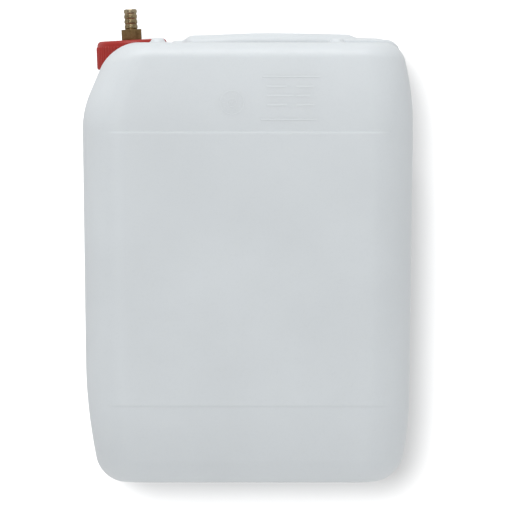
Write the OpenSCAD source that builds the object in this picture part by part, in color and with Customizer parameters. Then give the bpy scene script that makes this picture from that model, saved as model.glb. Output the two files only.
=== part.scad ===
// Ten litre dosing canister with a suction cap.
// A blow moulded can with a hollow carrying handle, a screw cap that carries a
// brass hose tail, and a dip tube that ends in a strainer foot with a ball valve.
// Origin: centre of the base, on the surface that the can stands on. +Z is up,
// the long side of the can runs along X and the neck is at the -X end.

/* [Can body] */
// Widest part of the can, side to side
body_w = 231.2; // [228:0.2:236]
// Front to back depth
body_d = 186; // [176:1:196]
// Height of the two shoulder ridges
body_h = 307; // [304:1:312]
// Wall of the moulding
wall = 1.6; // [1.2:0.1:2.4]
// Radius of the four upright corners
corner_r = 28; // [24:1:32]

/* [Neck and cap] */
// Lean of the neck towards the pouring end, in degrees
neck_tilt = 3; // [2:0.5:4]
// Radius of the neck below its thread
neck_r = 21; // [20.8:0.1:21.2]
// Radius of the neck bore
neck_bore_r = 18.6; // [17.5:0.1:18.8]
// Height of the neck above its platform
neck_len = 19; // [18:0.5:20]
// Lead of the screw thread
lead = 4; // [3.9:0.1:4.1]
// Turns of thread on the neck
turns = 1.75; // [1.5:0.25:1.75]
// Height of the cap from its skirt to its top
cap_h = 19.8; // [19:0.1:21]
// Number of grip ribs on the cap
cap_ribs = 60; // [40:1:64]

/* [Suction line] */
// Across flats of the hose tail's hexagon
hex_af = 14; // [13:0.5:15]
// Radius over the beads of the hose tail
bead_r = 4.65; // [4.5:0.05:4.8]
// Outside radius of the dip tube
tube_r = 6; // [5.8:0.1:6.2]
// Radius of the valve ball
ball_r = 4; // [3.5:0.1:4]

/* [Hidden] */
$fn = 64;

hw = body_w / 2;
hd = body_d / 2;
rim = [-81.1, 0, 304.4];          // centre of the neck's sealing rim
seal_t = 2;                       // thickness of the cap seal
top_t = 2.6;                      // thickness of the cap's top
cap_top = seal_t + top_t;
cap_bot = cap_top - cap_h;
tip = 26.3;                       // top of the hose tail above the rim
foot = -297;                      // lowest point of the strainer below the rim
vent_at = 12.4;                   // distance of the vent from the neck's axis

// ---------------------------------------------------------------- profiles
// How far a quarter round of radius r pulls in at distance d from its end face
function arc_in(d, r) = d >= r ? 0 : r - sqrt(max(0, r * r - (r - d) * (r - d)));
function sq(v) = v * v;
function over(v) = max(0, v);
// Lean of the pouring end: upright, a smooth bend, then a straight slope
function pour_lean(z) = z < 247 ? 0 : z < 273 ? 0.43 / 52 * sq(z - 247) : 0.43 * (z - 260);

function left_x(z, w) = -hw + w + 0.0138 * over(250 - z) + 0.0014 * sq(over(85 - z))
    + pour_lean(z) + arc_in(z - w, 19.5 - w) + arc_in(body_h - w - z, 18 - w);
function right_x(z, w) = hw - w - 0.0138 * over(250 - z) - 0.00225 * sq(over(60 - z))
    - 0.0027 * sq(over(z - 250)) - arc_in(z - w, 18 - w) - arc_in(body_h - w - z, 13 - w);
function half_y(z, w) = hd - w - 0.006 * over(250 - z) - 0.0022 * sq(over(56 - z))
    - 0.0024 * sq(over(z - 250)) - arc_in(z - w, 16 - w) - arc_in(body_h - w - z, 11 - w);
function plan_r(z, w) = max(8, corner_r - w - 0.8 * max(arc_in(z - w, 16 - w), arc_in(body_h - w - z, 11 - w)));

// Rounded rectangle, n segments to a corner
function rrect(x0, x1, y0, y1, r, n) = [for (c = [0:3]) for (i = [0:n])
    let (a = c * 90 + i * 90 / n)
    [(c == 0 || c == 3 ? x1 - r : x0 + r) + r * cos(a), (c < 2 ? y1 - r : y0 + r) + r * sin(a)]];

// Closed solid through a stack of rings with the same number of points
module loft(rings) {
    n = len(rings[0]);
    m = len(rings);
    polyhedron(
        points = [for (r = rings) each r],
        faces = concat(
            [[for (i = [0:n - 1]) i]],
            [for (k = [0:m - 2]) for (i = [0:n - 1]) let (a = k * n + i, b = k * n + (i + 1) % n) each [[a, b + n, b], [a, a + n, b + n]]],
            [[for (i = [n - 1:-1:0]) (m - 1) * n + i]]),
        convexity = 8);
}

function lift(ring, z) = [for (p = ring) [p[0], p[1], z]];
function stand(ring, x) = [for (p = ring) [x, p[0], p[1]]];

module neck_frame() translate(rim) rotate([0, -neck_tilt, 0]) children();

// ---------------------------------------------------------------- can
// Heights of the rings: close together on the rounded edges
function heights(w) = concat(
    [for (a = [0:15:90]) w + (19 - w) * (1 - cos(a))],
    [for (z = [28, 38, 50, 62, 75, 90, 170, 247, 252, 258, 265, 273, 281]) z],
    [for (a = [90:-15:0]) body_h - w - (18 - w) * (1 - cos(a))]);

module body_form(w) loft([for (z = heights(w))
    lift(rrect(left_x(z, w), right_x(z, w), -half_y(z, w), half_y(z, w), plan_r(z, w), 6), z)]);

// Pocket round the neck, open at the pouring end. g grows it by a wall.
module neck_pocket(g) neck_frame() hull() loft([for (s = [[0, 7], [0.9, 3.6], [2.6, 1.4], [5, 0.4], [8, 0], [16, -1.2], [30, -3.4]])
    lift(rrect(-60, 36.5 + g - s[1], -37 - g + s[1], 37 + g - s[1], 14 + g - s[1], 5), -neck_len - g + s[0])]);

// Shallow recess under the base, so that the can stands on a ring
module base_recess(g) hull() loft([for (s = [[-2, 0], [1.6, 1.2], [2.8, 3], [3.4, 7]])
    lift(rrect(-68 - g + s[1], 71 + g - s[1], -54 - g + s[1], 54 + g - s[1], 20 + g - s[1], 5), s[0] + (s[0] > 0 ? g : 0))]);

// Well under the handle, for the fingers
module hand_well(g) hull() loft([for (s = [[0, 11], [1.3, 6.4], [4, 2.6], [7.5, 0.7], [12, 0], [26, -2.6], [42, -5.4], [56, -8]])
    lift(rrect(-44 - g + s[1], 63 + g - s[1], -36.5 - g + s[1], 36.5 + g - s[1], 19 + g - s[1] * 0.6, 5), 264 - g + s[0])]);

// Carrying handle: a bar, its front leg and the block that it runs into
function bar_top(x) = x < -40 ? 312 - 4.2 * sq((-40 - x) / 6) : x < 10 ? 312 + 1.5 * sq(sin((x + 40) * 1.8))
    : x < 69.5 ? 313.5 - 0.9 * sq((x - 10) / 56) : x < 78.5 ? 312.5 - 2.9 * sq(sin((x - 69.5) * 10)) : 309.6 - 0.008 * sq(x - 78.5);
module handle_bar(w) loft([for (x = [-46 + w, -44 + w / 2, -41, -37, -30, -20, -10, 0, 10, 25, 40, 55, 69, 72, 75, 78.5, 86, 94])
    stand(rrect(-15 + w, 15 - w, 293.5 + w, bar_top(x) - w, 8 - w, 4), x)]);
module handle_leg(w) loft([for (s = [[w > 0 ? 250 : 263, 2], [268, 2.4], [274, 1], [284, 0], [300, 0]])
    lift(rrect(-46 + w - s[1] * 0.4, -28 - w + s[1], -15 + w - s[1], 15 - w + s[1], 6.4 - w, 4), s[0])]);
module handle_block(w) hull() loft([for (s = [[w > 0 ? 266 : 292, 0, 0.6], [296, 0, 0], [301.4, 0, 0], [304.4, 0.6, 1.9], [307.2, 1.8, 5], [308.6, 3.6, 8], [309.4, 7, 14]])
    lift(rrect(58 + w + s[1], 107.6 - w - s[2], -26 + w + s[1], 26 - w - s[1], 12 - w, 4), s[0] - (s[0] > 303 ? w : 0))]);
module handle_toe(w) hull() loft([for (s = [[w > 0 ? 270 : 280, 0], [305, 0], [307.2, 0.9], [308.3, 3]])
    lift(rrect(-53.6 + w + s[1], -40, -10 + w + s[1], 10 - w - s[1], 4, 4), s[0] - (s[0] > 303 ? w : 0))]);
module handle_form(w) { handle_bar(w); handle_leg(w); handle_block(w); handle_toe(w); }

// Single start ridge of thread. r0 is its root, r1 its crest, with the ends run out.
module thread(r0, r1, root_w, crest_w, z0, n_turns, steps = 36) {
    n = floor(n_turns * steps);
    loft([for (i = [0:n]) let (
            a = -i * 360 / steps,
            f = min(1, min(i, n - i) / 5),
            rc = r0 + (r1 - r0) * (0.12 + 0.88 * f),
            z = z0 - i * lead / steps)
        let (k = r1 > r0 ? 1 : -1)
        [for (q = [[r0, -root_w / 2], [rc, -crest_w / 2], [rc, crest_w / 2], [r0, root_w / 2]])
            [q[0] * cos(a), q[0] * sin(a), z + k * q[1]]]]);
}

module neck_outer() neck_frame() {
    rotate_extrude($fn = 64) polygon([[17, -neck_len - 1], [25.4, -neck_len - 1], [24.6, -neck_len + 0.4], [23.6, -neck_len + 1],
        [23.6, -neck_len + 2.4], [neck_r, -neck_len + 3.4], [neck_r, -0.8], [neck_r - 0.8, 0], [17, 0]]);
    thread(neck_r - 0.5, neck_r + 1.4, 2.6, 0.9, -3.2, turns);
}

module stack_lugs() for (x = [-62.3, 62.3], y = [-1, 1]) hull()
    for (d = [-2, 2]) translate([x, y * 57 + d, body_h + 2.8 - 6.8]) sphere(r = 6.8, $fn = 20);

module canister() color([0.80, 0.825, 0.835]) difference() {
    union() {
        difference() { body_form(0); neck_pocket(0); hand_well(0); base_recess(0); }
        handle_form(0);
        neck_outer();
        stack_lugs();
    }
    difference() { body_form(wall); neck_pocket(wall); hand_well(wall); base_recess(wall); }
    handle_form(wall);
    neck_frame() translate([0, 0, -neck_len - 8]) cylinder(r = neck_bore_r, h = neck_len + 12);
}

// ---------------------------------------------------------------- cap
module screw_cap() color([0.72, 0.16, 0.13]) neck_frame() {
    difference() {
        union() {
            rotate_extrude($fn = 96) polygon([[0, cap_bot], [24.5, cap_bot], [24.7, cap_bot + 0.3], [24.5, cap_top - 2],
                [24.2, cap_top - 0.9], [23.5, cap_top - 0.25], [22.6, cap_top], [0, cap_top]]);
            translate([0, 0, cap_bot]) linear_extrude(cap_h - 3.8)
                for (i = [0:cap_ribs - 1]) rotate(i * 360 / cap_ribs) translate([24.45, 0]) circle(r = 0.85, $fn = 20);
        }
        translate([0, 0, cap_bot - 1]) cylinder(r = 22.75, h = 1 - cap_bot + seal_t);
        cylinder(r = 6.7, h = 12);
        translate([0, vent_at, 0]) cylinder(r = 2, h = 12);
    }
    thread(23.1, 21.35, 2.2, 0.8, -3.2 - lead / 2 + 0.35, turns);
}

module cap_seal() color([0.90, 0.90, 0.87]) neck_frame() difference() {
    translate([0, 0, 0.12]) cylinder(r = 22.4, h = seal_t - 0.24);
    translate([0, 0, -1]) cylinder(r = 15.6, h = seal_t + 2);
}

module vent_plug() color([0.55, 0.56, 0.57]) neck_frame() translate([0, vent_at, 0]) rotate_extrude($fn = 48)
    polygon([[0.5, cap_top + 0.5], [1.4, cap_top + 0.5], [1.4, 0.8], [2.6, 1.6], [2.6, seal_t - 0.02], [1.92, seal_t - 0.02],
        [1.92, cap_top + 0.02], [3.0, cap_top + 0.02], [3.0, cap_top + 0.6], [2.6, cap_top + 1.1], [0.5, cap_top + 1.3]]);

module vent_membrane() color([0.96, 0.96, 0.95]) neck_frame() translate([0, vent_at, cap_top + 0.1])
    cylinder(r = 1.38, h = 0.38, $fn = 48);

// ---------------------------------------------------------------- brass work
// Outline of a beaded hose tail that points up from z0 and has n beads of radius r
function beads(z0, n, pitch, root, r) = [for (k = [0:n - 1]) each let (z = z0 + k * pitch)
    [[root, z], [root, z + 0.5], [r - 0.15, z + 0.95], [r, z + 1.3], [r, z + 2.4], [r - 0.15, z + 2.75], [root, z + 3.2]]];

module hex_body(af, z0, h, cham) intersection() {
    translate([0, 0, z0]) rotate(30) cylinder(r = af / sqrt(3), h = h, $fn = 6);
    rotate_extrude($fn = 96) polygon([[0, z0], [af / sqrt(3), z0], [af / sqrt(3), z0 + h - cham], [af / sqrt(3) - 1.7 * cham, z0 + h], [0, z0 + h]]);
}

module hose_barb() color([0.60, 0.50, 0.30]) neck_frame() difference() {
    union() {
        hex_body(hex_af, cap_top, 7.5, 0.7);
        translate([0, 0, -11.6]) cylinder(r = 6.5, h = 11.6 + cap_top + 1);
        rotate_extrude($fn = 96) polygon(concat([[0, cap_top + 7]], beads(cap_top + 7.3, 4, 3.6, 4.15, bead_r),
            [[bead_r - 0.9, tip - 0.3], [bead_r - 1.2, tip], [0, tip]]));
    }
    translate([0, 0, -20]) cylinder(r = 3, h = 60);
}

module inner_washer() color([0.10, 0.10, 0.11]) neck_frame() difference() {
    translate([0, 0, 0.2]) cylinder(r = 9.4, h = seal_t - 0.2);
    translate([0, 0, -1]) cylinder(r = 6.58, h = 5);
}

module flat_washer() color([0.75, 0.75, 0.76]) neck_frame() difference() {
    translate([0, 0, -1]) cylinder(r = 9.6, h = 1.2);
    translate([0, 0, -2]) cylinder(r = 6.7, h = 5);
}

module lock_nut() color([0.62, 0.52, 0.31]) neck_frame() difference() {
    translate([0, 0, -1]) mirror([0, 0, 1]) hex_body(17, 0, 4, 0.8);
    translate([0, 0, -8]) cylinder(r = 6.58, h = 12);
}

module hose_tail() color([0.62, 0.52, 0.31]) neck_frame() translate([0, 0, -5]) mirror([0, 0, 1]) difference() {
    union() {
        hex_body(17, 0, 9, 0.8);
        rotate_extrude($fn = 96) polygon(concat([[0, 8.4]], beads(8.6, 4, 3.6, 4.25, tube_bore_r + 0.5), [[3.7, 23.6], [0, 23.6]]));
    }
    translate([0, 0, -1]) cylinder(r = 6.58, h = 7.8);
    translate([0, 0, -1]) cylinder(r = 3, h = 40);
}

// ---------------------------------------------------------------- suction line
tube_top = -14.2;
tube_bore_r = 4.4;
tube_end = -251;

module dip_tube() color([0.88, 0.90, 0.90]) neck_frame() difference() {
    translate([0, 0, tube_end]) cylinder(r = tube_r, h = tube_top - tube_end);
    translate([0, 0, tube_end - 1]) cylinder(r = tube_bore_r, h = tube_top - tube_end + 2);
}

// One ear clamp: a band with a pinched ear
module ear_clamp(z) neck_frame() translate([0, 0, z]) difference() {
    union() {
        cylinder(r = tube_r + 0.75, h = 7);
        translate([tube_r + 0.2, -1.5, 0]) cube([3.2, 3, 7]);
    }
    translate([0, 0, -1]) cylinder(r = tube_r + 0.05, h = 9);
    translate([tube_r + 0.9, -0.8, -1]) cube([1.8, 1.6, 9]);
}
module tube_clips() color([0.74, 0.75, 0.76]) { ear_clamp(-23.5); ear_clamp(tube_end + 2.5); }

module foot_weight() color([0.66, 0.67, 0.68]) neck_frame() difference() {
    rotate_extrude($fn = 72) polygon([[0, -241], [9.4, -241], [10.4, -240], [10.4, -217], [9.4, -216], [0, -216]]);
    translate([0, 0, -250]) cylinder(r = tube_r + 0.1, h = 40);
}

// Housing of the foot valve: hose tail on top, ball chamber below
module foot_valve_body() color([0.20, 0.22, 0.24]) neck_frame() difference() {
    rotate_extrude($fn = 96) polygon(concat([[0, -281], [11, -281], [11, -259], [9.6, -255.4], [5.4, -253.4], [4.15, -252.9]],
        beads(-252.6, 3, 3.4, 4.25, tube_bore_r + 0.4), [[3.6, -242], [0, -242]]));
    translate([0, 0, -282]) cylinder(r = 7, h = 19);
    translate([0, 0, -264]) cylinder(r = 5.4, h = 4);
    translate([0, 0, -262]) cylinder(r = 2.8, h = 30);
}

// Seat ring that the ball drops on
module valve_seat() color([0.12, 0.12, 0.13]) neck_frame() rotate_extrude($fn = 72)
    polygon([[2.6, -281], [6.95, -281], [6.95, -277.4], [4.3, -277.4], [2.6, -279.2]]);

ball_z = -279.2 + sqrt(ball_r * ball_r - 2.6 * 2.6) + 0.42;
module valve_ball() color([0.93, 0.93, 0.92]) neck_frame() translate([0, 0, ball_z]) sphere(r = ball_r, $fn = 48);

// Ring with a cross bar that keeps the ball in its chamber
module ball_retainer() color([0.85, 0.85, 0.83]) neck_frame() {
    difference() {
        translate([0, 0, -268.6]) cylinder(r = 6.95, h = 2);
        translate([0, 0, -270]) cylinder(r = 5.2, h = 5);
    }
    translate([-5.6, -0.9, -268.6]) cube([11.2, 1.8, 2]);
    translate([-0.9, -5.6, -268.6]) cube([1.8, 11.2, 2]);
}

// Slotted basket that keeps solids out of the valve
module strainer_cage() color([0.20, 0.22, 0.24]) neck_frame() difference() {
    translate([0, 0, foot]) cylinder(r = 11, h = -281 - foot);
    translate([0, 0, foot + 2]) cylinder(r = 9.2, h = 20);
    for (i = [0:7]) rotate(i * 45) translate([8, -1.5, foot + 3]) cube([4, 3, 9.5]);
    for (i = [0:3]) rotate(i * 90 + 45) translate([5, 0, foot - 1]) cylinder(r = 1.6, h = 4);
}

module strainer_screen() color([0.70, 0.71, 0.72]) neck_frame() difference() {
    translate([0, 0, foot + 2]) cylinder(r = 9.15, h = -281 - foot - 2.05);
    translate([0, 0, foot + 1]) cylinder(r = 8.75, h = 30);
}

canister();
screw_cap();
cap_seal();
hose_barb();
inner_washer();
flat_washer();
lock_nut();
hose_tail();
dip_tube();
tube_clips();
foot_weight();
foot_valve_body();
valve_ball();
valve_seat();
ball_retainer();
strainer_cage();
strainer_screen();
vent_plug();
vent_membrane();
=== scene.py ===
import math

import bpy
import numpy as np
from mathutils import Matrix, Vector


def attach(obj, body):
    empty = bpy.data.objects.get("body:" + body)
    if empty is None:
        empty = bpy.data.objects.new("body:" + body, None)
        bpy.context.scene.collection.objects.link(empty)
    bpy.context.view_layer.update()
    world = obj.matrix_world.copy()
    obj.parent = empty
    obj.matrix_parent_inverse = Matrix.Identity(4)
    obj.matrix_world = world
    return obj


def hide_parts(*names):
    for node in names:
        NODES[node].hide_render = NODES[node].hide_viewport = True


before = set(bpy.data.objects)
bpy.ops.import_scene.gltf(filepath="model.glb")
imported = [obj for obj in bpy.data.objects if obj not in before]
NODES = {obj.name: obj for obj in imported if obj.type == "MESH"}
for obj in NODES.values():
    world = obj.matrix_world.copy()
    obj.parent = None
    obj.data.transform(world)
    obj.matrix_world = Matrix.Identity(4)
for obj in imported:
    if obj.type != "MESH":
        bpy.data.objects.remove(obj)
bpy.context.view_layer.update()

MM = 0.001

# ---------------------------------------------------------------- sizes, in mm
H = 307.0
RIM = (-81.1, 0.0, 304.4)
TILT = math.radians(-3.0)
EX = (math.cos(TILT), 0.0, -math.sin(TILT))
EZ = (math.sin(TILT), 0.0, math.cos(TILT))
NECK_LEN = 19.0
SEAL_T = 2.0
CAP_TOP = 4.6
CAP_BOT = CAP_TOP - 19.8
TIP = 26.3
INSET = 0.3


# ---------------------------------------------------------------- mesh helpers
def new_mesh(name, verts_mm, faces, normals=None, smooth=True):
    me = bpy.data.meshes.new(name)
    v = np.ascontiguousarray(np.asarray(verts_mm, np.float64) * MM, np.float32)
    if isinstance(faces, np.ndarray):
        n, k = faces.shape
        me.vertices.add(len(v))
        me.vertices.foreach_set("co", v.ravel())
        me.loops.add(n * k)
        me.loops.foreach_set("vertex_index", faces.astype(np.int32).ravel())
        me.polygons.add(n)
        me.polygons.foreach_set("loop_start", np.arange(0, n * k, k, dtype=np.int32))
        me.polygons.foreach_set("loop_total", np.full(n, k, np.int32))
        me.update(calc_edges=True)
    else:
        me.from_pydata([tuple(p) for p in v], [], [list(f) for f in faces])
        me.update()
    me.validate(verbose=False)
    me.polygons.foreach_set("use_smooth", np.full(len(me.polygons), smooth, bool))
    if normals is not None:
        me.normals_split_custom_set_from_vertices(
            [tuple(n) for n in np.asarray(normals, float)]
        )
    ob = bpy.data.objects.new(name, me)
    bpy.context.scene.collection.objects.link(ob)
    return ob


def neck_to_world(p):
    """Points given in the neck's own frame, whose origin is the centre of the sealing rim."""
    p = np.asarray(p, float)
    u, y, w = p[..., 0], p[..., 1], p[..., 2]
    return np.stack(
        [
            RIM[0] + u * EX[0] + w * EZ[0],
            y,
            RIM[2] + u * EX[2] + w * EZ[2],
        ],
        -1,
    )


def grid_faces(rows, cols, close_cols=True, flip=False, offset=0):
    """Quads over rows x cols points, the columns going round."""
    last = cols if close_cols else cols - 1
    i, j = np.meshgrid(np.arange(rows - 1), np.arange(last), indexing="ij")
    a = i * cols + j
    b = i * cols + (j + 1) % cols
    c, d = b + cols, a + cols
    q = np.stack([a, b, c, d], -1).reshape(-1, 4)
    return (q[:, ::-1] if flip else q) + offset


def rounded(points, radius, steps=5):
    """An open or closed outline of (r, z) points with its inner corners rounded. radius is one number or one per point."""
    pts = [np.array(p, float) for p in points]
    rad = radius if isinstance(radius, (list, tuple)) else [radius] * len(pts)
    out = [pts[0]]
    for k in range(1, len(pts) - 1):
        a, b, c = pts[k - 1], pts[k], pts[k + 1]
        u, w = a - b, c - b
        lu, lw = np.linalg.norm(u), np.linalg.norm(w)
        u, w = u / lu, w / lw
        cosang = float(np.clip(u @ w, -1, 1))
        half = math.acos(cosang) / 2
        r = rad[k]
        if r <= 0 or half > 1.55 or half < 0.05:
            out.append(b)
            continue
        t = min(r / math.tan(half), lu * 0.49, lw * 0.49)
        rr = t * math.tan(half)
        centre = b + (u + w) / np.linalg.norm(u + w) * (rr / math.sin(half))
        p, q = b + u * t, b + w * t
        a0 = math.atan2(*(p - centre)[::-1])
        a1 = math.atan2(*(q - centre)[::-1])
        da = (a1 - a0 + math.pi) % (2 * math.pi) - math.pi
        for s in range(steps + 1):
            an = a0 + da * s / steps
            out.append(centre + rr * np.array([math.cos(an), math.sin(an)]))
    out.append(pts[-1])
    return np.array(out)


def lathe(name, outline, segs=128, radius_of=None, world=neck_to_world, closed=False):
    """Turns an outline of (r, w) points round the neck's axis. radius_of(r, w, angle) may change the radius."""
    o = np.asarray(outline, float)
    if closed:
        o = np.vstack([o, o[:1]])
    th = np.linspace(0, 2 * math.pi, segs, endpoint=False)
    r = np.repeat(o[:, :1], segs, 1)
    w = np.repeat(o[:, 1:2], segs, 1)
    t = np.repeat(th[None, :], len(o), 0)
    if radius_of is not None:
        r = radius_of(r, w, t)
    p = np.stack([r * np.cos(t), r * np.sin(t), w], -1).reshape(-1, 3)
    return new_mesh(name, world(p), grid_faces(len(o), segs))


def helix(name, r0, r1, root_w, crest_w, z0, turns, lead=4.0, steps=72, world=neck_to_world):
    """A thread ridge, its ends run out, with rounded flanks."""
    n = int(turns * steps)
    rows = []
    for i in range(n + 1):
        a = -i * 2 * math.pi / steps
        f = min(1.0, min(i, n - i) / (steps / 8))
        f = f * f * (3 - 2 * f)
        rc = r0 + (r1 - r0) * (0.06 + 0.94 * f)
        z = z0 - i * lead / steps
        d = rc - r0
        sec = [
            (r0 - 0.1 * np.sign(r1 - r0), -root_w / 2),
            (r0 + 0.25 * d, -root_w / 2 + 0.18 * root_w),
            (rc - 0.12 * d, -crest_w / 2 - 0.06),
            (rc, -crest_w / 2 + 0.12),
            (rc, crest_w / 2 - 0.12),
            (rc - 0.12 * d, crest_w / 2 + 0.06),
            (r0 + 0.25 * d, root_w / 2 - 0.18 * root_w),
            (r0 - 0.1 * np.sign(r1 - r0), root_w / 2),
        ]
        for r, dz in sec:
            rows.append([r * math.cos(a), r * math.sin(a), z + dz])
    q = grid_faces(n + 1, 8, close_cols=True, flip=r1 < r0)
    ends = [list(range(8))[::-1], [n * 8 + k for k in range(8)]]
    faces = [list(f) for f in q] + (ends if r1 > r0 else [e[::-1] for e in ends])
    return new_mesh(name, world(np.array(rows)), faces)


def sharp(ob, degrees=32):
    ob.data.set_sharp_from_angle(angle=math.radians(degrees))
    return ob


def bevel(ob, width_mm, segments=2, degrees=30):
    m = ob.modifiers.new("edges", "BEVEL")
    m.width = width_mm * MM
    m.segments = segments
    m.limit_method = "ANGLE"
    m.angle_limit = math.radians(degrees)
    m.harden_normals = False
    return ob


# ---------------------------------------------------------------- the can's form
def over(v):
    return np.maximum(v, 0)


def step01(v):
    v = np.clip(v, 0, 1)
    return v * v * (3 - 2 * v)


def join_round(a, b, r):
    u, v = np.maximum(r - a, 0), np.maximum(r - b, 0)
    return np.maximum(r, np.minimum(a, b)) - np.sqrt(u * u + v * v)


def meet_round(a, b, r):
    u, v = np.maximum(r + a, 0), np.maximum(r + b, 0)
    return np.minimum(-r, np.maximum(a, b)) + np.sqrt(u * u + v * v)


def rect2(qx, qy, r):
    qx, qy = qx + r, qy + r
    return np.hypot(over(qx), over(qy)) + np.minimum(np.maximum(qx, qy), 0) - r


def pour_lean(z):
    return np.where(
        z < 247, 0, np.where(z < 273, 0.43 / 52 * over(z - 247) ** 2, 0.43 * (z - 260))
    )


def bar_top(x):
    rise = np.where(
        x < -40,
        0,
        np.where(
            x < 10,
            1.5 * np.sin(np.radians(np.clip(x + 40, 0, 50) * 1.8)) ** 2,
            1.5 - 0.9 * (np.clip(x - 10, 0, 56) / 56) ** 2,
        ),
    )
    drop = 3.2 * step01((x - 69.5) / 9)
    return 312.0 - 0.05 + rise - drop - 0.004 * over(x - 80) ** 2


def can_form(x, y, z):
    """Distance-like field of the can's outside, negative inside. Its zero is the surface."""
    zc = np.clip(z, 0, H)
    below = over(250 - zc)
    lx = -115.6 + INSET + 0.0138 * below + 0.0014 * over(85 - zc) ** 2 + pour_lean(zc)
    rx = 115.6 - INSET - 0.0138 * below - 0.00225 * over(60 - zc) ** 2 - 0.0027 * over(zc - 250) ** 2
    hy = 93.0 - INSET - 0.006 * below - 0.0022 * over(56 - zc) ** 2 - 0.0024 * over(zc - 250) ** 2
    # the label panel stands half a millimetre proud of the bands above and below it
    panel = step01((zc - 52.3) / 1.6) * (1 - step01((zc - 243.4) / 1.6))
    flat = (1 - step01((np.abs(x) - 88) / 14)) * step01((np.abs(y) - 60) / 20)
    hy = hy - 0.34 * (1 - panel) * flat
    # the walls of a blown moulding are never quite flat
    swell = 0.12 * np.sin(x / 27 + 0.6) * np.sin(zc / 37 + 1.1) + 0.08 * np.sin(
        x / 13.0 + zc / 41 + 2.0
    ) * np.sin(zc / 19 + 0.4)
    hy = hy - 0.22 - swell * step01((np.abs(y) - 60) / 20)
    cx, bx = (lx + rx) / 2, (rx - lx) / 2
    qx, qy = np.abs(x - cx) - bx, np.abs(y) - hy
    rc = 28.0
    d2 = rect2(qx, qy, rc)
    wx, wy = over(qx + rc) ** 2 + 1e-3, over(qy + rc) ** 2 + 1e-3
    s = wx / (wx + wy)
    left = x < cx
    r_top = 11 * (1 - s) + s * np.where(left, 18, 12)
    r_bot = 16 * (1 - s) + s * np.where(left, 16.5, 18)
    f = meet_round(d2, z - H, r_top)
    f = meet_round(f, -z, r_bot)

    # neck pocket
    dx, dz = x - RIM[0], z - RIM[2]
    u, w = dx * EX[0] + dz * EX[2], dx * EZ[0] + dz * EZ[2]
    g = 0.155 * over(w + 11)
    pocket = rect2(u - (36.5 + g), np.abs(y) - (37 + g), 14)
    pocket = meet_round(pocket, -NECK_LEN - w, 7)
    f = meet_round(f, -pocket, 3.6)

    # finger well
    g = 0.18 * over(z - 276)
    well = rect2(np.abs(x - 9.5) - (53.5 + g), np.abs(y) - (36.5 + g), 19 + 0.5 * g)
    well = meet_round(well, 264 - z, 11)
    f = meet_round(f, -well, 5.5)

    # carrying handle
    top = bar_top(x)
    bar = meet_round(np.abs(y) - 15, z - top, 8)
    bar = meet_round(bar, 293.5 - z, 8)
    bar = meet_round(bar, -46 - x, 8.5)
    bar = meet_round(bar, x - 96, 6)
    leg = meet_round(rect2(np.abs(x + 37) - 9, np.abs(y) - 15, 6.4), z - 301, 1)
    leg = meet_round(leg, 255 - z, 1)
    h = join_round(bar, leg, 6)
    slope = over(z - 299) ** 2 * 0.035
    block = rect2(np.abs(x - 81.8) - (24.3 - 0.4 * slope), np.abs(y) - (26 - 0.35 * slope), 11)
    block = meet_round(block, z - 309.4 + 0.0008 * over(x - 78) ** 2 + 0.065 * over(x - 97) ** 2, 1.0)
    block = meet_round(block, 285 - z, 2)
    gutter = rect2(np.abs(x - 80) - 24, np.abs(np.abs(y) - 31) - 6.5, 5)
    gutter = meet_round(gutter, 303.2 - z, 3)
    f = meet_round(f, -gutter, 2.2)
    toe = rect2(np.abs(x + 46.5) - 7, np.abs(y) - 10, 4)
    toe = meet_round(toe, z - 308.3, 3)
    toe = meet_round(toe, 270 - z, 2)
    h = join_round(h, toe, 2)
    f = join_round(f, h, 3.4)
    f = join_round(f, join_round(h, block, 3.2), 0.9)

    # stacking lugs
    lug = rect2(np.abs(np.abs(x + 0.2) - 62.7) - 5.1, np.abs(np.abs(y) - 57) - 7.2, 4.9)
    bulge = 0.02 * (np.abs(x + 0.2) - 62.7) ** 2 + 0.012 * (np.abs(y) - 57) ** 2
    lug = meet_round(lug, z - 310.25 + bulge, 2.6)
    lug = meet_round(lug, 300 - z, 1)
    f = join_round(f, lug, 1.3)

    # recess under the base, so that it stands on a ring
    rec = rect2(np.abs(x - 1.5) - 69.5, np.abs(y) - 54, 20)
    rec = meet_round(rec, z - 3.4, 3)
    f = meet_round(f, -rec, 2.5)
    # a cross of shallow ribs in the recess
    rib = join_round(np.abs(x - 1.5) - 2.2, np.abs(y) - 2.2, 1.0)
    rib = meet_round(meet_round(rib, rec + 6, 2), 2.2 - z, 0.5)
    f = join_round(f, meet_round(rib, z - 8, 0.5), 1.0)

    # seam of the two mould halves
    seam = np.exp(-((y / 0.42) ** 2)) * step01((z - 8) / 6)
    return f - 0.2 * seam


def slope_of(x, y, z, e=0.05):
    g = np.stack(
        [
            can_form(x + e, y, z) - can_form(x - e, y, z),
            can_form(x, y + e, z) - can_form(x, y - e, z),
            can_form(x, y, z + e) - can_form(x, y, z - e),
        ],
        -1,
    ) / (2 * e)
    return g


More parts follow.
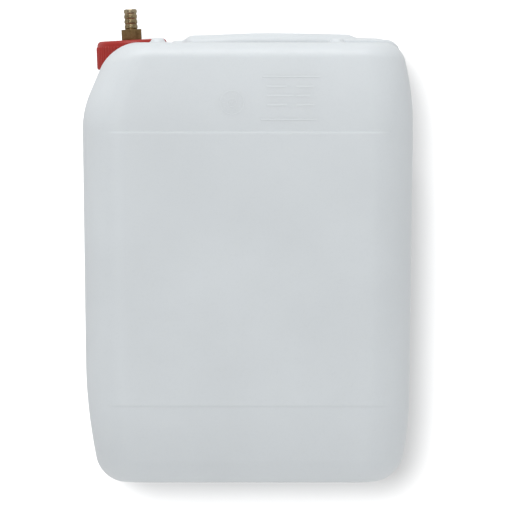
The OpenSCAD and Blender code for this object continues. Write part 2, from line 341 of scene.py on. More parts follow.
def surface(xs, ys, zs):
    """Quad mesh of can_form = 0 on a grid, its points then drawn on to the surface."""
    F = np.empty((len(xs), len(ys), len(zs)), np.float32)
    Y, Z = np.meshgrid(ys, zs, indexing="ij")
    for i, x in enumerate(xs):
        F[i] = can_form(np.full_like(Y, x), Y, Z)
    inside = F < 0
    nx, ny, nz = len(xs) - 1, len(ys) - 1, len(zs) - 1
    mixed = np.zeros((nx, ny, nz), bool)
    first = inside[:-1, :-1, :-1]
    for a in (0, 1):
        for b in (0, 1):
            for c in (0, 1):
                mixed |= inside[a : nx + a, b : ny + b, c : nz + c] != first
    number = np.full((nx, ny, nz), -1, np.int64)
    number[mixed] = np.arange(mixed.sum())
    count = int(mixed.sum())
    acc, hits = np.zeros((count, 3)), np.zeros(count)
    quads = []
    for axis in range(3):
        lo = [slice(None)] * 3
        hi = [slice(None)] * 3
        lo[axis], hi[axis] = slice(0, -1), slice(1, None)
        a, b = F[tuple(lo)], F[tuple(hi)]
        ii, jj, kk = np.nonzero((a < 0) != (b < 0))
        av, bv = a[ii, jj, kk].astype(float), b[ii, jj, kk].astype(float)
        t = av / (av - bv)
        idx = [ii, jj, kk]
        grids = [xs, ys, zs]
        p = np.stack([grids[d][idx[d]] for d in range(3)], -1).astype(float)
        p[:, axis] += t * (grids[axis][idx[axis] + 1] - grids[axis][idx[axis]])
        o1, o2 = [(1, 2), (2, 0), (0, 1)][axis]
        cells = []
        ok = np.ones(len(ii), bool)
        size = (nx, ny, nz)
        for s1, s2 in ((-1, -1), (0, -1), (0, 0), (-1, 0)):
            c = [v.copy() for v in idx]
            c[o1] = c[o1] + s1
            c[o2] = c[o2] + s2
            good = (c[o1] >= 0) & (c[o2] >= 0) & (c[o1] < size[o1]) & (c[o2] < size[o2])
            ok &= good
            cc = [np.clip(c[d], 0, size[d] - 1) for d in range(3)]
            n = np.where(good, number[cc[0], cc[1], cc[2]], -1)
            cells.append(n)
            m = n >= 0
            for d in range(3):
                acc[:, d] += np.bincount(n[m], p[m, d], count)
            hits += np.bincount(n[m], minlength=count)
        q = np.stack(cells, -1)[ok]
        flip = (bv < av)[ok]
        q[flip] = q[flip][:, ::-1]
        quads.append(q)
    v = acc / np.maximum(hits, 1)[:, None]
    q = np.concatenate(quads)
    for _ in range(4):
        f = can_form(v[:, 0], v[:, 1], v[:, 2])
        g = slope_of(v[:, 0], v[:, 1], v[:, 2])
        s = -f[:, None] * g / np.maximum((g * g).sum(1), 0.05)[:, None]
        length = np.linalg.norm(s, axis=1, keepdims=True)
        v = v + s * np.minimum(1, 1.0 / np.maximum(length, 1e-9))
    g = slope_of(v[:, 0], v[:, 1], v[:, 2])
    return v, q, g / np.maximum(np.linalg.norm(g, axis=1, keepdims=True), 1e-9)


def levels(*parts):
    """Grid lines from (start, stop, spacing) stretches."""
    out = []
    for a, b, s in parts:
        n = max(1, int(round((b - a) / s)))
        out += list(np.linspace(a, b, n, endpoint=False))
    out.append(parts[-1][1])
    return np.array(out)


FINE = 1.3
xs = levels((-119, 119, FINE))
ys = levels((-96, -1.3, FINE), (-1.3, 1.3, 0.26), (1.3, 96, FINE))
zs = levels(
    (-2, 22, 1.3),
    (22, 50.4, 3.2),
    (50.4, 56.2, 0.45),
    (56.2, 241.6, 4.2),
    (241.6, 247.6, 0.45),
    (247.6, 260, 2.0),
    (260, 317, 1.15),
)
V, Q, N = surface(xs, ys, zs)
# open the platform under the neck's bore
mid = V[Q].mean(1)
dx, dz = mid[:, 0] - RIM[0], mid[:, 2] - RIM[2]
u, w = dx * EX[0] + dz * EX[2], dx * EZ[0] + dz * EZ[2]
keep = ~((np.hypot(u, mid[:, 1]) < 20.5) & (np.abs(w + NECK_LEN) < 3))
Q = Q[keep]
used = np.unique(Q)
back = np.full(len(V), -1, np.int64)
back[used] = np.arange(len(used))
V, N, Q = V[used], N[used], back[Q]
skin = new_mesh("canister_moulding", V, Q, N)
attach(skin, "canister")
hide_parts("canister")

# ---------------------------------------------------------------- neck finish
neck_line = rounded(
    [
        (27.5, -19.35),
        (25.6, -19.2),
        (24.7, -18.3),
        (23.7, -17.9),
        (23.7, -16.7),
        (21.0, -15.5),
        (21.0, -1.2),
        (20.4, -0.02),
        (18.8, -0.02),
        (18.6, -1.0),
        (18.6, -26.0),
        (21.0, -34.0),
    ],
    [0, 0.8, 0.6, 0.5, 0.5, 0.9, 0.8, 0.5, 0.4, 1.5, 3, 0],
)
neck = lathe("neck_finish", neck_line, 144)
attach(neck, "canister")
thread = helix("neck_thread", 20.9, 22.35, 2.6, 0.9, -3.2, 1.75)
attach(thread, "canister")


# ---------------------------------------------------------------- moulded marks on the front
def front_y(x, z):
    """Y of the front face at x, z."""
    y = np.full(np.shape(x), -92.0)
    for _ in range(12):
        f = can_form(x, y, z)
        e = 0.05
        g = (can_form(x, y + e, z) - can_form(x, y - e, z)) / (2 * e)
        y = y - np.clip(f / np.where(np.abs(g) < 0.2, -0.2, g), -2, 2)
    return y


mark_v, mark_f = [], []


def bar_mark(x0, x1, z0, z1, proud=0.2, edge=0.35, across=10):
    """A raised bar with soft edges, lying on the front face."""
    nxn = max(6, int(abs(x1 - x0) / 1.2))
    tx = np.concatenate([[x0, x0 + edge * 0.5, x0 + edge], np.linspace(x0 + edge, x1 - edge, nxn)[1:-1], [x1 - edge, x1 - edge * 0.5, x1]])
    tz = np.concatenate([[z0, z0 + edge * 0.5, z0 + edge], np.linspace(z0 + edge, z1 - edge, across)[1:-1], [z1 - edge, z1 - edge * 0.5, z1]])
    X, Z = np.meshgrid(tx, tz, indexing="ij")
    Y = front_y(X, Z)
    d = np.minimum(np.minimum(X - x0, x1 - X), np.minimum(Z - z0, z1 - Z)) / edge
    hgt = proud * np.sin(np.clip(d, 0, 1) * math.pi / 2) - 0.05
    P = np.stack([X, Y - hgt, Z], -1).reshape(-1, 3)
    base = sum(len(v) for v in mark_v)
    mark_v.append(P)
    r, c = X.shape
    i, j = np.meshgrid(np.arange(r - 1), np.arange(c - 1), indexing="ij")
    a = i * c + j
    mark_f.append(np.stack([a, a + c, a + c + 1, a + 1], -1).reshape(-1, 4) + base)


def ring_mark(cx, cz, r0, r1, proud=0.11, segs=72):
    rr = np.array([r0, r0 + (r1 - r0) * 0.2, (r0 + r1) / 2, r1 - (r1 - r0) * 0.2, r1])
    hh = proud * np.array([0, 0.75, 1, 0.75, 0]) - 0.05
    t = np.linspace(0, 2 * math.pi, segs, endpoint=False)
    X = cx + rr[:, None] * np.cos(t)
    Z = cz + rr[:, None] * np.sin(t)
    Y = front_y(X, Z)
    P = np.stack([X, Y - hh[:, None], Z], -1).reshape(-1, 3)
    base = sum(len(v) for v in mark_v)
    mark_v.append(P)
    mark_f.append(grid_faces(5, segs, flip=True, offset=base))


def tick_mark(cx, cz, r0, r1, angle, width=0.7, proud=0.1):
    a = np.linspace(r0, r1, 6)
    b = np.linspace(-width / 2, width / 2, 7)
    A, B = np.meshgrid(a, b, indexing="ij")
    X = cx + A * math.cos(angle) - B * math.sin(angle)
    Z = cz + A * math.sin(angle) + B * math.cos(angle)
    Y = front_y(X, Z)
    d = np.minimum((width / 2 - np.abs(B)) / (width / 2), np.minimum(A - r0, r1 - A) / 0.4)
    P = np.stack([X, Y - (proud * np.sin(np.clip(d, 0, 1) * math.pi / 2) - 0.05), Z], -1).reshape(-1, 3)
    base = sum(len(v) for v in mark_v)
    mark_v.append(P)
    r, c = X.shape
    i, j = np.meshgrid(np.arange(r - 1), np.arange(c - 1), indexing="ij")
    k = i * c + j
    mark_f.append(np.stack([k, k + c, k + c + 1, k + 1], -1).reshape(-1, 4) + base)


# two fine rules with blank fields between them, and a plain dial of ticks
bar_mark(10.0, 50.8, 282.6, 283.6)
bar_mark(8.8, 48.0, 252.6, 253.6)
for k in range(3):
    bar_mark(13.0, 27.5 + 4.5 * (k % 2), 275.4 - 6.4 * k, 277.0 - 6.4 * k, 0.1)
    bar_mark(33.5, 46.5 - 3.0 * (k % 2), 275.4 - 6.4 * k, 277.0 - 6.4 * k, 0.1)
ring_mark(-11.0, 265.0, 7.9, 8.7)
ring_mark(-11.0, 265.0, 2.6, 3.3)
for k in range(12):
    tick_mark(-11.0, 265.0, 5.0, 6.9, k * math.pi / 6)
tick_mark(-11.0, 265.0, -2.0, 2.0, math.radians(60), 0.9)
marks = new_mesh("front_marks", np.concatenate(mark_v), np.concatenate(mark_f))
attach(marks, "canister")

# ---------------------------------------------------------------- screw cap
RIBS = 60
cap_line = rounded(
    [
        (22.75, CAP_BOT + 0.5),
        (23.1, CAP_BOT + 0.02),
        (24.5, CAP_BOT + 0.02),
        (24.62, CAP_BOT + 0.6),
        (24.6, CAP_BOT + 4),
        (24.58, CAP_BOT + 8),
        (24.55, CAP_BOT + 12),
        (24.5, CAP_TOP - 4.6),
        (24.45, CAP_TOP - 3.9),
        (24.42, CAP_TOP - 3.6),
        (24.38, CAP_TOP - 2.9),
        (24.15, CAP_TOP - 1.9),
        (23.6, CAP_TOP - 1.0),
        (22.85, CAP_TOP - 0.35),
        (22.0, CAP_TOP - 0.06),
        (21.3, CAP_TOP - 0.02),
        (20.7, CAP_TOP - 0.4),
        (19.0, CAP_TOP - 0.45),
        (13.0, CAP_TOP - 0.45),
        (9.6, CAP_TOP - 0.45),
        (9.1, CAP_TOP - 0.02),
        (7.4, CAP_TOP - 0.02),
        (6.75, CAP_TOP - 0.25),
        (6.72, SEAL_T + 0.05),
        (22.3, SEAL_T + 0.05),
        (22.76, SEAL_T - 0.5),
        (22.76, CAP_BOT + 0.5),
    ],
    0.25,
    3,
)


def ribbed(r, w, t):
    """Raises the grip ribs on the skirt: rounded crests, narrow grooves."""
    up = step01((w - (CAP_BOT + 0.25)) / 0.7) * (1 - step01((w - (CAP_TOP - 4.5)) / 0.8))
    wave = 0.5 + 0.5 * np.cos(t * RIBS)
    crest = wave**0.75
    lift = 0.62 * crest * up * (r > 24.3)
    return r + lift


dense = []
for a, b in zip(cap_line[:-1], cap_line[1:]):
    dense.append(a)
    gap = np.linalg.norm(b - a)
    if min(a[0], b[0]) > 24.3 and gap > 0.6:
        for k in range(1, int(gap / 0.5)):
            dense.append(a + (b - a) * k / int(gap / 0.5))
dense.append(cap_line[-1])
cap = lathe("cap_shell", np.array(dense), RIBS * 12, ribbed)
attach(cap, "cap")
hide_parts("screw_cap")
cap_thread = helix("cap_thread", 23.0, 21.4, 2.2, 0.8, -3.2 - 2 + 0.35, 1.75)
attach(cap_thread, "cap")
# gate mark of the moulding, off centre on the cap's face
gate = lathe(
    "cap_gate",
    rounded([(2.3, -0.35), (2.2, -0.02), (1.5, 0.0), (1.0, -0.25), (0.0, -0.25)], 0.15, 3),
    40,
    world=lambda p: neck_to_world(np.asarray(p) + np.array([13.6, -4.0, CAP_TOP - 0.12])),
)
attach(gate, "cap")

# ---------------------------------------------------------------- brass hose tail
HEX_AF = 14.0


def hex_radius(t, af, soft=0.45):
    """Radius of a hexagon with slightly rounded corners, one corner facing -Y."""
    a = (t + math.pi / 2) % (math.pi / 3) - math.pi / 6
    flat = af / 2 / np.cos(a)
    corner = af / math.sqrt(3) - soft * 0.32
    k = 9.0
    return -np.log(np.exp(-k * flat) + np.exp(-k * corner)) / k


def hex_piece(name, af, w0, w1, cham, bore, segs=192):
    rmax = af / math.sqrt(3)
    rows = []
    th = np.linspace(0, 2 * math.pi, segs, endpoint=False)
    hexr = hex_radius(th, af)
    ws = list(np.linspace(w0, w1 - cham - 0.05, 5)) + list(np.linspace(w1 - cham, w1, 9))
    rows.append(np.stack([bore * np.cos(th), bore * np.sin(th), np.full(segs, w0)], -1))
    for k, w in enumerate(ws):
        lim = rmax if w < w1 - cham else rmax - 1.75 * (w - (w1 - cham)) - 0.02
        r = np.minimum(hexr, lim)
        if k == 0:
            r = r - 0.18
        rows.append(np.stack([r * np.cos(th), r * np.sin(th), np.full(segs, w + (0.0 if k else 0.0))], -1))
        if k == 0:
            r = np.minimum(hexr, rmax)
            rows.append(np.stack([r * np.cos(th), r * np.sin(th), np.full(segs, w + 0.18)], -1))
    last = rmax - 1.75 * cham
    for r in (last - 0.4, last - 1.2, bore):
        rows.append(np.stack([r * np.cos(th), r * np.sin(th), np.full(segs, w1)], -1))
    P = np.concatenate(rows)
    return new_mesh(name, neck_to_world(P), grid_faces(len(rows), segs))


hexagon = sharp(hex_piece("hose_tail_hexagon", HEX_AF, CAP_TOP + 0.02, CAP_TOP + 7.45, 0.7, 3.0), 24)
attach(hexagon, "cap")
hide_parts("hose_barb")

spout = [(5.0, CAP_TOP + 7.3), (4.35, CAP_TOP + 7.5)]
z = CAP_TOP + 7.3
for k in range(4):
    b = z + 3.6 * k
    spout += [
        (4.22, b + 0.12),
        (4.22, b + 0.42),
        (4.47, b + 0.85),
        (4.62, b + 1.35),
        (4.635, b + 1.85),
        (4.62, b + 2.35),
        (4.46, b + 2.9),
        (4.22, b + 3.35),
    ]
spout += [
    (4.1, z + 14.2),
    (3.7, TIP - 0.25),
    (3.45, TIP - 0.02),
    (3.15, TIP - 0.05),
    (3.0, TIP - 0.3),
    (3.0, CAP_TOP + 4),
    (3.0, -11.0),
    (3.3, -11.5),
    (6.0, -11.55),
    (6.45, -11.1),
]
# turned thread of the shank
for k in range(19):
    b = -10.7 + 0.7 * k
    spout += [(6.42, b), (6.1, b + 0.35)]
spout += [(6.42, 2.6), (6.45, CAP_TOP)]
tail = lathe("hose_tail_barb", rounded(spout, 0.22, 3), 96)
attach(tail, "cap")


# ---------------------------------------------------------------- materials
def material(name):
    m = bpy.data.materials.new(name)
    m.use_nodes = True
    nt = m.node_tree
    nt.nodes.clear()
    out = nt.nodes.new("ShaderNodeOutputMaterial")
    b = nt.nodes.new("ShaderNodeBsdfPrincipled")
    nt.links.new(b.outputs[0], out.inputs[0])
    return m, nt, b


def node(nt, kind, **values):
    n = nt.nodes.new("ShaderNode" + kind)
    for k, v in values.items():
        if k in n.inputs.keys():
            n.inputs[k].default_value = v
        else:
            setattr(n, k, v)
    return n


def coords(nt):
    return nt.nodes.new("ShaderNodeTexCoord").outputs["Object"]


def noise(nt, scale, detail=3.0, rough=0.55, vector=None):
    n = node(nt, "TexNoise", Scale=scale, Detail=detail, Roughness=rough)
    nt.links.new(vector or coords(nt), n.inputs["Vector"])
    return n.outputs["Fac"]


def ramp(nt, fac, stops):
    r = nt.nodes.new("ShaderNodeValToRGB")
    while len(r.color_ramp.elements) < len(stops):
        r.color_ramp.elements.new(0.5)
    for e, (p, c) in zip(r.color_ramp.elements, stops):
        e.position = p
        e.color = (*c, 1) if len(c) == 3 else c
    nt.links.new(fac, r.inputs[0])
    return r.outputs["Color"]


def value_range(nt, fac, lo, hi, a=0.3, b=0.7):
    n = nt.nodes.new("ShaderNodeMapRange")
    n.inputs["From Min"].default_value = a
    n.inputs["From Max"].default_value = b
    n.inputs["To Min"].default_value = lo
    n.inputs["To Max"].default_value = hi
    nt.links.new(fac, n.inputs["Value"])
    return n.outputs["Result"]


def math_node(nt, op, a, b=None):
    n = nt.nodes.new("ShaderNodeMath")
    n.operation = op
    for k, v in enumerate((a, b)):
        if v is None:
            continue
        if isinstance(v, (int, float)):
            n.inputs[k].default_value = v
        else:
            nt.links.new(v, n.inputs[k])
    return n.outputs[0]


def bump(nt, b, height, strength, distance, below=None):
    n = nt.nodes.new("ShaderNodeBump")
    n.inputs["Strength"].default_value = strength
    n.inputs["Distance"].default_value = distance
    nt.links.new(height, n.inputs["Height"])
    if below is not None:
        nt.links.new(below, n.inputs["Normal"])
    nt.links.new(n.outputs["Normal"], b.inputs["Normal"])
    return n.outputs["Normal"]


def srgb(r, g, b):
    def f(v):
        v /= 255
        return v / 12.92 if v <= 0.04045 else ((v + 0.055) / 1.055) ** 2.4

    return (f(r), f(g), f(b))


def scaled(c, k):
    return tuple(min(1.0, v * k) for v in c)


def hdpe(name="natural_hdpe", inside=0.4, tone=1.0):
    m, nt, b = material(name)
    base = scaled(srgb(217, 222, 225), tone)
    cloud = noise(nt, 14, 3, 0.6)
    col = ramp(nt, cloud, [(0.3, scaled(base, 0.975)), (0.7, scaled(base, 1.02))])
    # faint speckle of the moulding and of handling
    speck = noise(nt, 520, 2, 0.5)
    mix = nt.nodes.new("ShaderNodeMix")
    mix.data_type = "RGBA"
    mix.blend_type = "MULTIPLY"
    mix.inputs["Factor"].default_value = 0.5
    nt.links.new(col, mix.inputs["A"])
    nt.links.new(
        ramp(nt, speck, [(0.25, (0.965, 0.965, 0.965)), (0.5, (1, 1, 1)), (0.8, (0.99, 0.99, 0.99))]),
        mix.inputs["B"],
    )
    nt.links.new(mix.outputs["Result"], b.inputs["Base Color"])
    nt.links.new(value_range(nt, noise(nt, 60, 4, 0.6), 0.34, 0.45), b.inputs["Roughness"])
    b.inputs["Specular IOR Level"].default_value = 0.42
    b.inputs["IOR"].default_value = 1.5
    b.inputs["Subsurface Weight"].default_value = inside
    b.inputs["Subsurface Radius"].default_value = (1.0, 1.0, 1.05)
    b.inputs["Subsurface Scale"].default_value = 0.006
    first = bump(nt, b, noise(nt, 45, 2, 0.5), 0.12, 0.0006)
    bump(nt, b, noise(nt, 1500, 2, 0.6), 0.10, 0.00012, first)
    return m


def red_plastic():
    m, nt, b = material("red_cap")
    base = srgb(164, 32, 24)
    col = ramp(nt, noise(nt, 90, 3, 0.6), [(0.3, scaled(base, 0.93)), (0.7, scaled(base, 1.05))])
    # painted highlight: convex edges, found by pointiness, are mixed towards a lighter orange red for the light the
    # cap's rounded top edge catches
    geo = nt.nodes.new("ShaderNodeNewGeometry")
    edge = ramp(nt, geo.outputs["Pointiness"], [(0.5, (0, 0, 0)), (0.56, (1, 1, 1))])
    mix = nt.nodes.new("ShaderNodeMix")
    mix.data_type = "RGBA"
    # colour of the painted edge highlight
    mix.inputs["B"].default_value = (*srgb(190, 82, 70), 1)
    nt.links.new(col, mix.inputs["A"])
    nt.links.new(math_node(nt, "MULTIPLY", edge, 0.35), mix.inputs["Factor"])
    nt.links.new(mix.outputs["Result"], b.inputs["Base Color"])
    nt.links.new(value_range(nt, noise(nt, 240, 3, 0.6), 0.36, 0.5), b.inputs["Roughness"])
    b.inputs["Specular IOR Level"].default_value = 0.4
    bump(nt, b, noise(nt, 2200, 2, 0.6), 0.12, 0.00008)
    return m


def brass(name, dark, mid, light, rough):
    m, nt, b = material(name)
    tarnish = noise(nt, 260, 4, 0.65)
    col = ramp(
        nt,
        tarnish,
        [
            (0.25, dark),
            (0.5, mid),
            (0.78, light),
        ],
    )
    # painted highlight: the brass is mixed towards a paler colour at the top of the hose tail (Z 0.3262 to 0.3300 m),
    # standing in for light falling from above
    height = nt.nodes.new("ShaderNodeSeparateXYZ")
    nt.links.new(coords(nt), height.inputs[0])
    painted_tip_highlight = nt.nodes.new("ShaderNodeMix")
    painted_tip_highlight.data_type = "RGBA"
    painted_tip_highlight.inputs["B"].default_value = (*srgb(180, 168, 142), 1)
    nt.links.new(col, painted_tip_highlight.inputs["A"])
    nt.links.new(value_range(nt, height.outputs["Z"], 0.0, 0.7, 0.3262, 0.3300), painted_tip_highlight.inputs["Factor"])
    nt.links.new(painted_tip_highlight.outputs["Result"], b.inputs["Base Color"])
    b.inputs["Metallic"].default_value = 1.0
    nt.links.new(value_range(nt, tarnish, rough + 0.08, rough - 0.06), b.inputs["Roughness"])
    # turning marks round the axis
    wave = node(nt, "TexWave", Scale=1500.0, Distortion=0.6, Detail=1.5)
    wave.wave_type = "BANDS"
    wave.bands_direction = "Z"
    nt.links.new(coords(nt), wave.inputs["Vector"])
    first = bump(nt, b, wave.outputs["Fac"], 0.18, 0.00003)
    bump(nt, b, noise(nt, 1800, 3, 0.6), 0.14, 0.00004, first)
    return m


def steel():
    m, nt, b = material("stainless")
    grain = nt.nodes.new("ShaderNodeMapping")
    grain.inputs["Scale"].default_value = (1.0, 1.0, 14.0)
    nt.links.new(coords(nt), grain.inputs["Vector"])
    g = noise(nt, 420, 3, 0.6, grain.outputs["Vector"])
    nt.links.new(ramp(nt, g, [(0.3, (0.46, 0.46, 0.47)), (0.7, (0.60, 0.60, 0.61))]), b.inputs["Base Color"])
    b.inputs["Metallic"].default_value = 1.0
    nt.links.new(value_range(nt, g, 0.24, 0.40), b.inputs["Roughness"])
    bump(nt, b, g, 0.08, 0.00003)
    return m


def plastic(name, colour, rough=0.45, grain=900, spread=0.06, metallic=0.0):
    m, nt, b = material(name)
    col = ramp(nt, noise(nt, 120, 3, 0.6), [(0.3, scaled(colour, 1 - spread)), (0.7, scaled(colour, 1 + spread))])
    nt.links.new(col, b.inputs["Base Color"])
    nt.links.new(value_range(nt, noise(nt, 300, 3, 0.6), rough - 0.06, rough + 0.07), b.inputs["Roughness"])
    b.inputs["Metallic"].default_value = metallic
    bump(nt, b, noise(nt, grain, 2, 0.6), 0.14, 0.00008)
    return m


def tube_plastic():
    m, nt, b = material("clear_tube")
    col = ramp(nt, noise(nt, 40, 2, 0.5), [(0.3, (0.70, 0.76, 0.77)), (0.7, (0.80, 0.84, 0.85))])
    nt.links.new(col, b.inputs["Base Color"])
    b.inputs["Transmission Weight"].default_value = 0.45
    b.inputs["IOR"].default_value = 1.5
    nt.links.new(value_range(nt, noise(nt, 200, 3, 0.6), 0.16, 0.3), b.inputs["Roughness"])
    bump(nt, b, noise(nt, 500, 2, 0.5), 0.08, 0.00006)
    return m


def woven_steel():
    m, nt, b = material("screen_steel")
    a = node(nt, "TexWave", Scale=900.0, Distortion=0.2)
    a.wave_type, a.bands_direction = "BANDS", "Z"
    c = node(nt, "TexWave", Scale=900.0, Distortion=0.2)
    c.wave_type, c.bands_direction = "BANDS", "DIAGONAL"
    for t in (a, c):
        nt.links.new(coords(nt), t.inputs["Vector"])
    h = math_node(nt, "MAXIMUM", a.outputs["Fac"], c.outputs["Fac"])
    nt.links.new(ramp(nt, h, [(0.3, (0.12, 0.12, 0.13)), (0.75, (0.62, 0.62, 0.63))]), b.inputs["Base Color"])
    b.inputs["Metallic"].default_value = 1.0
    nt.links.new(value_range(nt, h, 0.5, 0.28), b.inputs["Roughness"])
    bump(nt, b, h, 0.5, 0.0002)
    return m


HDPE = hdpe()
RED = red_plastic()
BRASS = brass("brass", srgb(120, 96, 62), srgb(146, 122, 84), srgb(168, 146, 104), 0.34)
HEX_BRASS = brass("brass_hexagon", srgb(109, 88, 57), srgb(133, 110, 75), srgb(152, 130, 92), 0.42)
BARB_BRASS = brass("brass_barb", srgb(116, 99, 72), srgb(142, 126, 96), srgb(170, 155, 124), 0.2)
STEEL = steel()
BLACK = plastic("black_rubber", (0.035, 0.035, 0.038), 0.6)
SEAL = plastic("seal_foam", (0.80, 0.80, 0.76), 0.6, 2400)
GREY = plastic("grey_pp", (0.045, 0.05, 0.055), 0.45)
WHITE = plastic("white_pp", (0.80, 0.80, 0.78), 0.42)
BALL = plastic("ceramic", (0.86, 0.86, 0.84), 0.16, 400, 0.02)
TUBE = tube_plastic()
SCREEN = woven_steel()


def dress(ob, mat):
    ob.data.materials.clear()
    ob.data.materials.append(mat)


for ob in (skin, neck, thread):
    dress(ob, HDPE)
# the marks get a copy of the plastic 3% lighter than the body, a painted highlight for the light their raised edges
# catch
dress(marks, hdpe("moulded_marks", 0.0, 1.03))
for ob in (cap, cap_thread, gate):
    dress(ob, RED)
dress(hexagon, HEX_BRASS)
dress(tail, BARB_BRASS)
for name, mat in {
    "canister": HDPE,
    "screw_cap": RED,
    "hose_barb": BRASS,
    "cap_seal": SEAL,
    "inner_washer": BLACK,
    "flat_washer": STEEL,
    "lock_nut": BRASS,
    "hose_tail": BRASS,
    "dip_tube": TUBE,
    "tube_clips": STEEL,
    "foot_weight": STEEL,
    "foot_valve_body": GREY,
    "valve_ball": BALL,
    "valve_seat": BLACK,
    "ball_retainer": WHITE,
    "strainer_cage": GREY,
    "strainer_screen": SCREEN,
    "vent_plug": GREY,
    "vent_membrane": WHITE,
}.items():
    dress(NODES[name], mat)
for name, width in {
    "flat_washer": 0.12,
    "lock_nut": 0.15,
    "hose_tail": 0.12,
    "tube_clips": 0.12,
    "foot_weight": 0.2,
    "foot_valve_body": 0.2,
    "ball_retainer": 0.15,
    "strainer_cage": 0.2,
    "vent_plug": 0.1,
}.items():
    bevel(NODES[name], width)


# ---------------------------------------------------------------- floor, backdrop, light, camera
def stage_material(name, glow, fade, tone_scale=1.0):
    """Pale matt card that fades out towards its edges. fade is (half x, half y, soft x, soft y) in metres from its centre."""
    m, nt, b = material(name)
    tone = ramp(nt, noise(nt, 2.0, 2, 0.5), [(0.3, scaled((0.90, 0.90, 0.90), tone_scale)), (0.7, scaled((0.915, 0.915, 0.915), tone_scale))])
    nt.links.new(tone, b.inputs["Base Color"])
    b.inputs["Roughness"].default_value = 0.9
    b.inputs["Specular IOR Level"].default_value = 0.0
    b.inputs["Emission Color"].default_value = (1, 1, 1, 1)
    b.inputs["Emission Strength"].default_value = glow
    sep = nt.nodes.new("ShaderNodeSeparateXYZ")
    nt.links.new(coords(nt), sep.inputs[0])
    far = []
    for k, half, soft in zip("XY", fade[:2], fade[2:]):
        past = math_node(nt, "SUBTRACT", math_node(nt, "ABSOLUTE", sep.outputs[k]), half)
        far.append(math_node(nt, "DIVIDE", math_node(nt, "MAXIMUM", past, 0.0), soft))
    d = math_node(nt, "SQRT", math_node(nt, "ADD", math_node(nt, "POWER", far[0], 2.0), math_node(nt, "POWER", far[1], 2.0)))
    alpha = nt.nodes.new("ShaderNodeMapRange")
    alpha.interpolation_type = "SMOOTHSTEP"
    alpha.inputs["From Min"].default_value = 0.0
    alpha.inputs["From Max"].default_value = 1.0
    alpha.inputs["To Min"].default_value = 1.0
    alpha.inputs["To Max"].default_value = 0.0
    nt.links.new(d, alpha.inputs["Value"])
    geo = nt.nodes.new("ShaderNodeNewGeometry")
    front = math_node(nt, "SUBTRACT", 1.0, geo.outputs["Backfacing"])
    nt.links.new(math_node(nt, "MULTIPLY", alpha.outputs["Result"], front), b.inputs["Alpha"])
    return m


def card(name, corners, mat):
    ob = new_mesh(name, np.array(corners, float) * 1000, [[0, 1, 2, 3]], smooth=False)
    dress(ob, mat)
    return ob


FLOOR = stage_material("floor_card", 0.1, (0.066, 0.06, 0.022, 0.03), 0.9)
WALL = stage_material("back_card", 0.0, (0.24, 0.26, 0.12, 0.12), 0.9)
floor = card("floor", [[-0.6, -0.6, 0], [0.6, -0.6, 0], [0.6, 0.6, 0], [-0.6, 0.6, 0]], FLOOR)
floor.location.z = -0.0001
floor.visible_shadow = False
floor.visible_diffuse = False
# a card close behind, which takes the soft shadow and lets everything else through
wall = card("backdrop", [[-0.6, -0.6, 0], [0.6, -0.6, 0], [0.6, 0.6, 0], [-0.6, 0.6, 0]], WALL)
wall.rotation_euler = (math.pi / 2, 0, 0)
wall.location = (0.005, 0.125, 0.158)
for flag in ("visible_diffuse", "visible_glossy", "visible_transmission", "visible_volume_scatter", "visible_shadow"):
    setattr(wall, flag, False)

world = bpy.data.worlds.new("studio")
bpy.context.scene.world = world
world.use_nodes = True
wt = world.node_tree
bg = wt.nodes["Background"]
sky = wt.nodes.new("ShaderNodeTexCoord")
up = wt.nodes.new("ShaderNodeSeparateXYZ")
wt.links.new(sky.outputs["Generated"], up.inputs[0])
glow = wt.nodes.new("ShaderNodeMapRange")
glow.interpolation_type = "SMOOTHSTEP"
glow.inputs["From Min"].default_value = -1.0
glow.inputs["From Max"].default_value = 1.0
glow.inputs["To Min"].default_value = 0.785
glow.inputs["To Max"].default_value = 0.655
wt.links.new(up.outputs["Z"], glow.inputs["Value"])
path = wt.nodes.new("ShaderNodeLightPath")
seen = wt.nodes.new("ShaderNodeMix")
seen.data_type = "FLOAT"
wt.links.new(path.outputs["Is Camera Ray"], seen.inputs["Factor"])
wt.links.new(glow.outputs["Result"], seen.inputs["A"])
seen.inputs["B"].default_value = 1.0
bg.inputs["Color"].default_value = (1, 1, 1, 1)
wt.links.new(seen.outputs["Result"], bg.inputs["Strength"])


def area(name, location, target, size, power, colour=(1, 1, 1)):
    d = bpy.data.lights.new(name, "AREA")
    d.shape = "RECTANGLE"
    d.size, d.size_y = size
    d.energy = power
    d.color = colour
    o = bpy.data.objects.new(name, d)
    bpy.context.scene.collection.objects.link(o)
    o.location = location
    o.rotation_mode = "QUATERNION"
    o.rotation_quaternion = (Vector(target) - Vector(location)).to_track_quat("-Z", "Y")
    o.visible_camera = False
    return o


area("top_light", (-0.2, -0.45, 1.6), (0, 0, 0.25), (1.3, 0.6), 6.8)
area("glint_light", (-0.25, -0.55, 1.5), (0, 0, 0.3), (0.4, 0.1), 1.9)


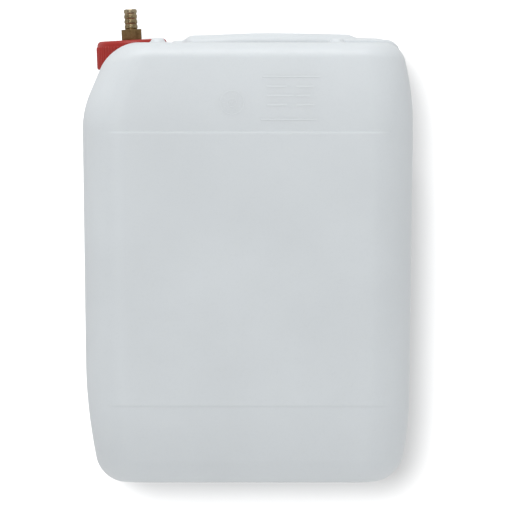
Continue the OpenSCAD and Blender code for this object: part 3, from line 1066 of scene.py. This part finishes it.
def flag(name, azimuth, width, distance=2.0):
    """A tall dark strip in front, seen in reflections alone. azimuth is counted from straight ahead, to the right."""
    a = math.radians(azimuth)
    c = (math.sin(a) * distance, -math.cos(a) * distance, 0.4)
    u = (math.cos(a) * width / 2, math.sin(a) * width / 2)
    ob = card(name, [[c[0] - u[0], c[1] - u[1], -0.6], [c[0] + u[0], c[1] + u[1], -0.6], [c[0] + u[0], c[1] + u[1], 1.6], [c[0] - u[0], c[1] - u[1], 1.6]], DARK)
    for flag_name in ("visible_camera", "visible_diffuse", "visible_transmission", "visible_volume_scatter", "visible_shadow"):
        setattr(ob, flag_name, False)


DARK = plastic("dark_card", (0.02, 0.02, 0.02), 0.9)
flag("dark_strip_left", -42, 0.42)
flag("dark_strip_right", 24, 0.22)


def sun(name, energy, angle, direction):
    d = bpy.data.lights.new(name, "SUN")
    d.energy = energy
    d.angle = math.radians(angle)
    o = bpy.data.objects.new(name, d)
    bpy.context.scene.collection.objects.link(o)
    o.rotation_mode = "QUATERNION"
    o.rotation_quaternion = Vector(direction).to_track_quat("-Z", "Y")
    return o


sun("key", 0.28, 20, (0.25, 1.0, -0.25))
# a second soft light reaches the backdrop alone
lit = bpy.data.collections.new("backdrop_only")
lit.objects.link(wall)
back_key = sun("back_key", 2.62, 10.5, (0.076, 1.0, -0.064))
back_key.light_linking.receiver_collection = lit

cam_data = bpy.data.cameras.new("camera")
cam = bpy.data.objects.new("camera", cam_data)
bpy.context.scene.collection.objects.link(cam)
bpy.context.scene.camera = cam
cam_data.sensor_width = 36.0
DIST = 16.0
aim = Vector((0.00504, 0.0, 0.1582))
elev = math.radians(0.28)
cam.location = aim + Vector((0, -math.cos(elev), math.sin(elev))) * DIST
cam.rotation_mode = "QUATERNION"
cam.rotation_quaternion = (aim - cam.location).to_track_quat("-Z", "Y")
# true to scale in the plane 30 mm in front of the middle
cam_data.lens = 36.0 * (DIST - 0.03) / (510 * 0.0007)
cam_data.clip_start, cam_data.clip_end = 0.1, 300.0
bpy.context.scene.view_settings.view_transform = "Standard"
